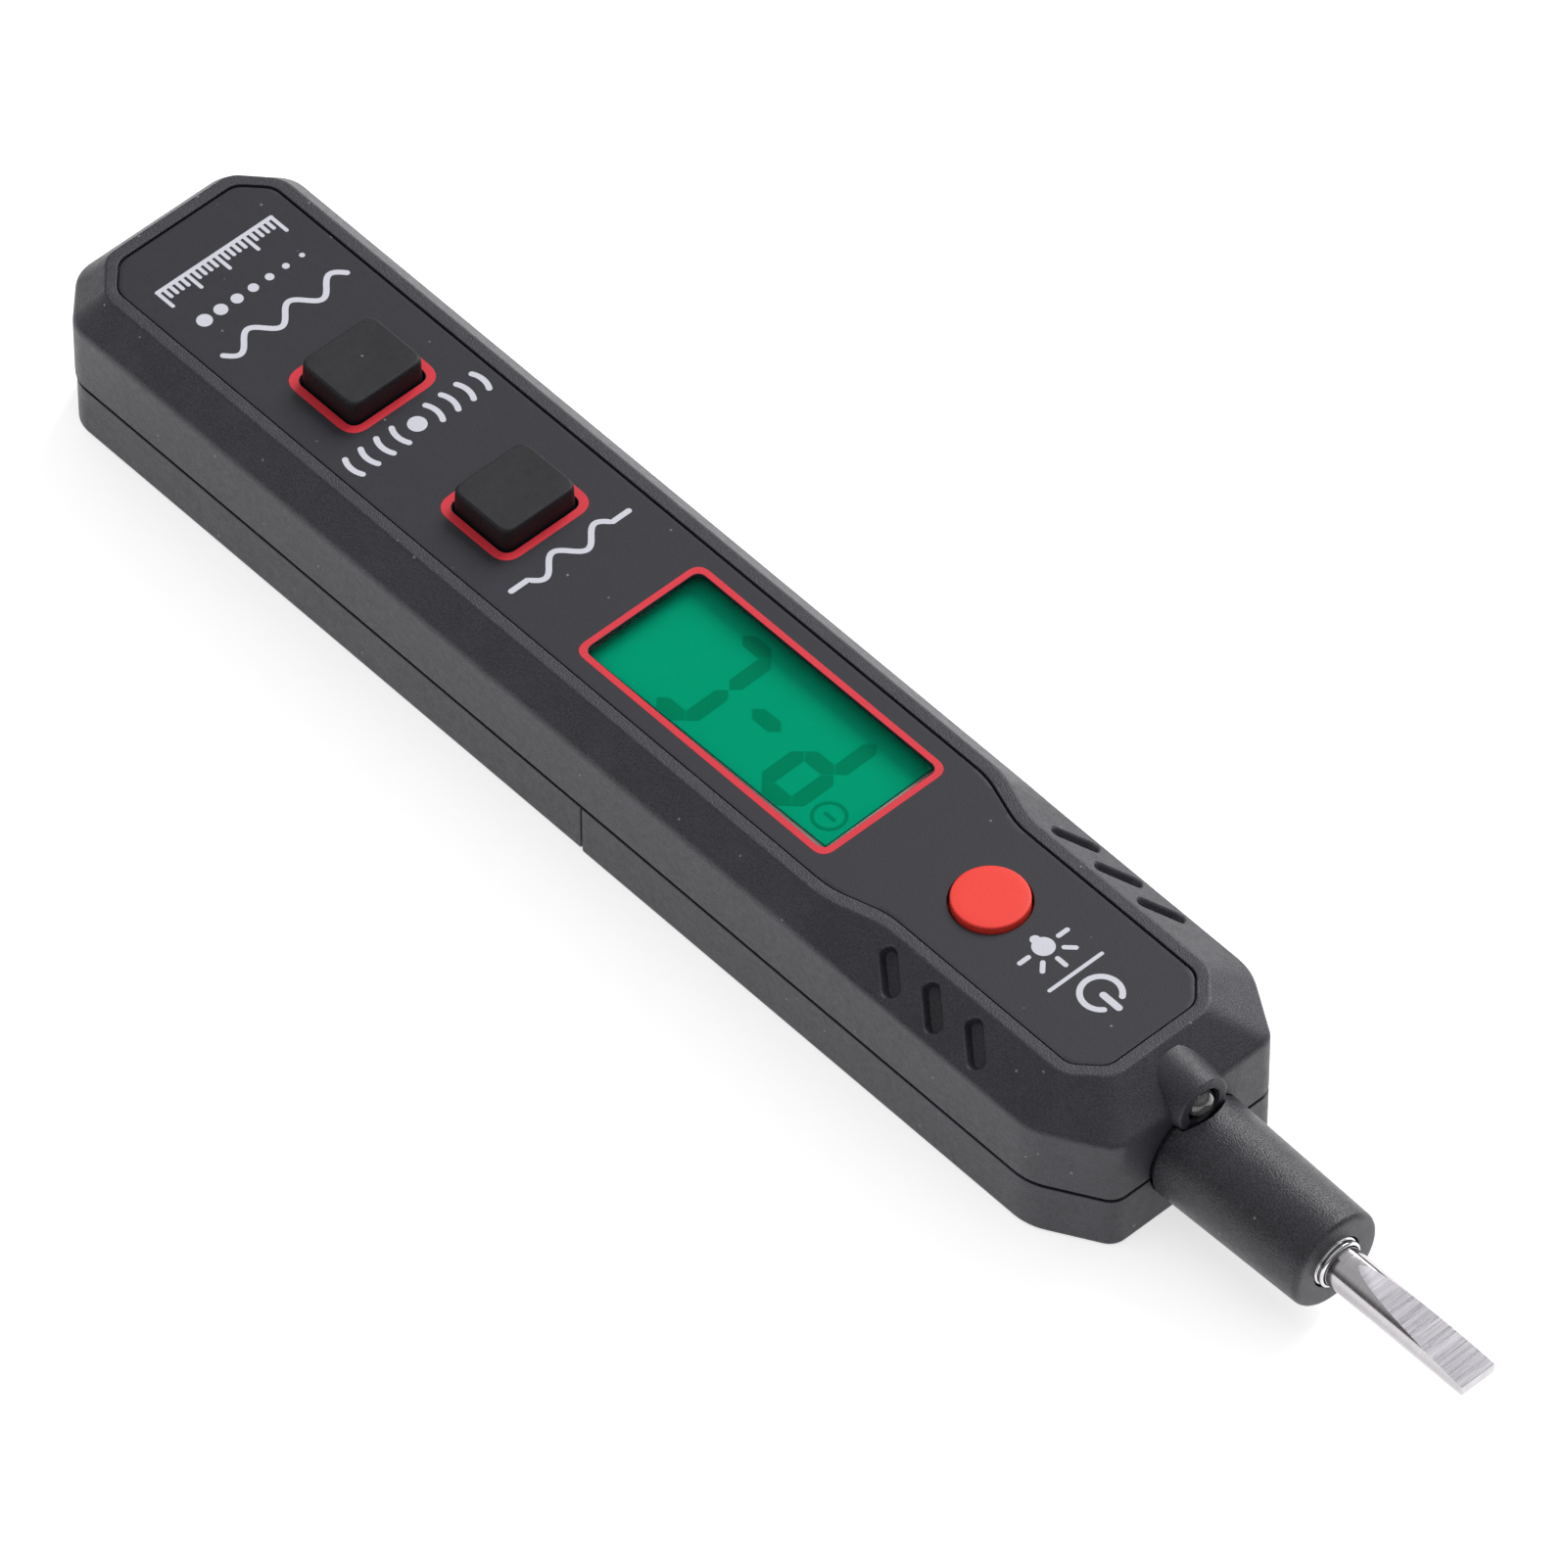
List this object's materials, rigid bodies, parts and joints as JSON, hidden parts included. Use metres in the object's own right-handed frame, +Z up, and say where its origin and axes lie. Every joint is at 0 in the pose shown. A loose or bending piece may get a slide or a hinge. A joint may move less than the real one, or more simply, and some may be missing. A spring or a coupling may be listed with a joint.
{
  "type": "non contact voltage tester",
  "caption": "Pen-shaped voltage tester with a backlit display, two rubber keys, a round power key, a torch lamp and a ground screwdriver tip, run from two cells under a sliding rear cover.",
  "frame": {"origin": "middle of the tool's footprint, on the surface it lies on", "axes": "+X along the tool to the screwdriver tip, +Y across it, +Z up out of the display face"},
  "size_m": [0.178, 0.0274, 0.0196],
  "materials": {
    "shell": "dark grey moulded plastic with a fine spark-eroded grain",
    "panel": "dark grey printed overlay, fine satin grain",
    "rubber": "matt black silicone",
    "dark_plastic": "matt black moulding",
    "tin": "bright tin plate",
    "red_key": "bright red, satin",
    "window": "clear polished acrylic",
    "display": "green liquid crystal glass behind a polariser",
    "light_guide": "translucent light guide",
    "white_plastic": "off-white moulding",
    "nozzle": "dark grey moulding with a fine grain",
    "ferrule": "plated brass, bright",
    "steel": "ground across, satin",
    "lamp": "clear epoxy",
    "board": "green solder mask",
    "resistor": "lacquered",
    "tray": "black moulding",
    "cell": "plain dark blue sleeve"
  },
  "bodies": {
    "casing": {"upper_shell": "shell", "lower_front_shell": "shell", "face_panel": "panel", "connect_switch": "tin", "voltage_switch": "tin", "power_switch": "tin", "lcd_window": "window", "lcd_glass": "display", "lcd_backlight": "light_guide", "lcd_zebra_strip": "rubber", "lcd_frame": "white_plastic", "nozzle": "nozzle", "tip_ferrule": "ferrule", "screwdriver_blade": "steel", "probe_spring": "tin", "torch_led": "lamp", "circuit_board": "board", "controller_chip": "dark_plastic", "sense_amplifier_chip": "dark_plastic", "safety_resistor": "resistor", "probe_contact": "tin", "battery_tray": "tray", "battery_right": "cell", "battery_left": "cell", "battery_bridge_contact": "tin", "battery_negative_contact": "tin", "battery_positive_contact": "tin", "tray_screw_1": "tin", "tray_screw_2": "tin", "tray_screw_3": "tin", "shell_screw_1": "tin", "shell_screw_2": "tin", "shell_screw_3": "tin"},
    "connect_key": {"connect_button": "rubber", "connect_plunger": "dark_plastic"},
    "voltage_key": {"voltage_button": "rubber", "voltage_plunger": "dark_plastic"},
    "power_key": {"power_button": "red_key", "power_plunger": "dark_plastic"},
    "rear_cover": {"battery_cover": "shell"}
  },
  "joints": [
    {"name": "connect_press", "type": "slide", "parent": "casing", "child": "connect_key", "axis": [0, 0, -1], "range_m": [0, 0.0005], "stiffness_N_per_m": 800},
    {"name": "voltage_press", "type": "slide", "parent": "casing", "child": "voltage_key", "axis": [0, 0, -1], "range_m": [0, 0.0005], "stiffness_N_per_m": 800},
    {"name": "power_press", "type": "slide", "parent": "casing", "child": "power_key", "axis": [0, 0, -1], "range_m": [0, 0.0005], "stiffness_N_per_m": 800},
    {"name": "cover_slide", "type": "slide", "parent": "casing", "child": "rear_cover", "axis": [-1, 0, 0], "range_m": [0, 0.076]}
  ]
}
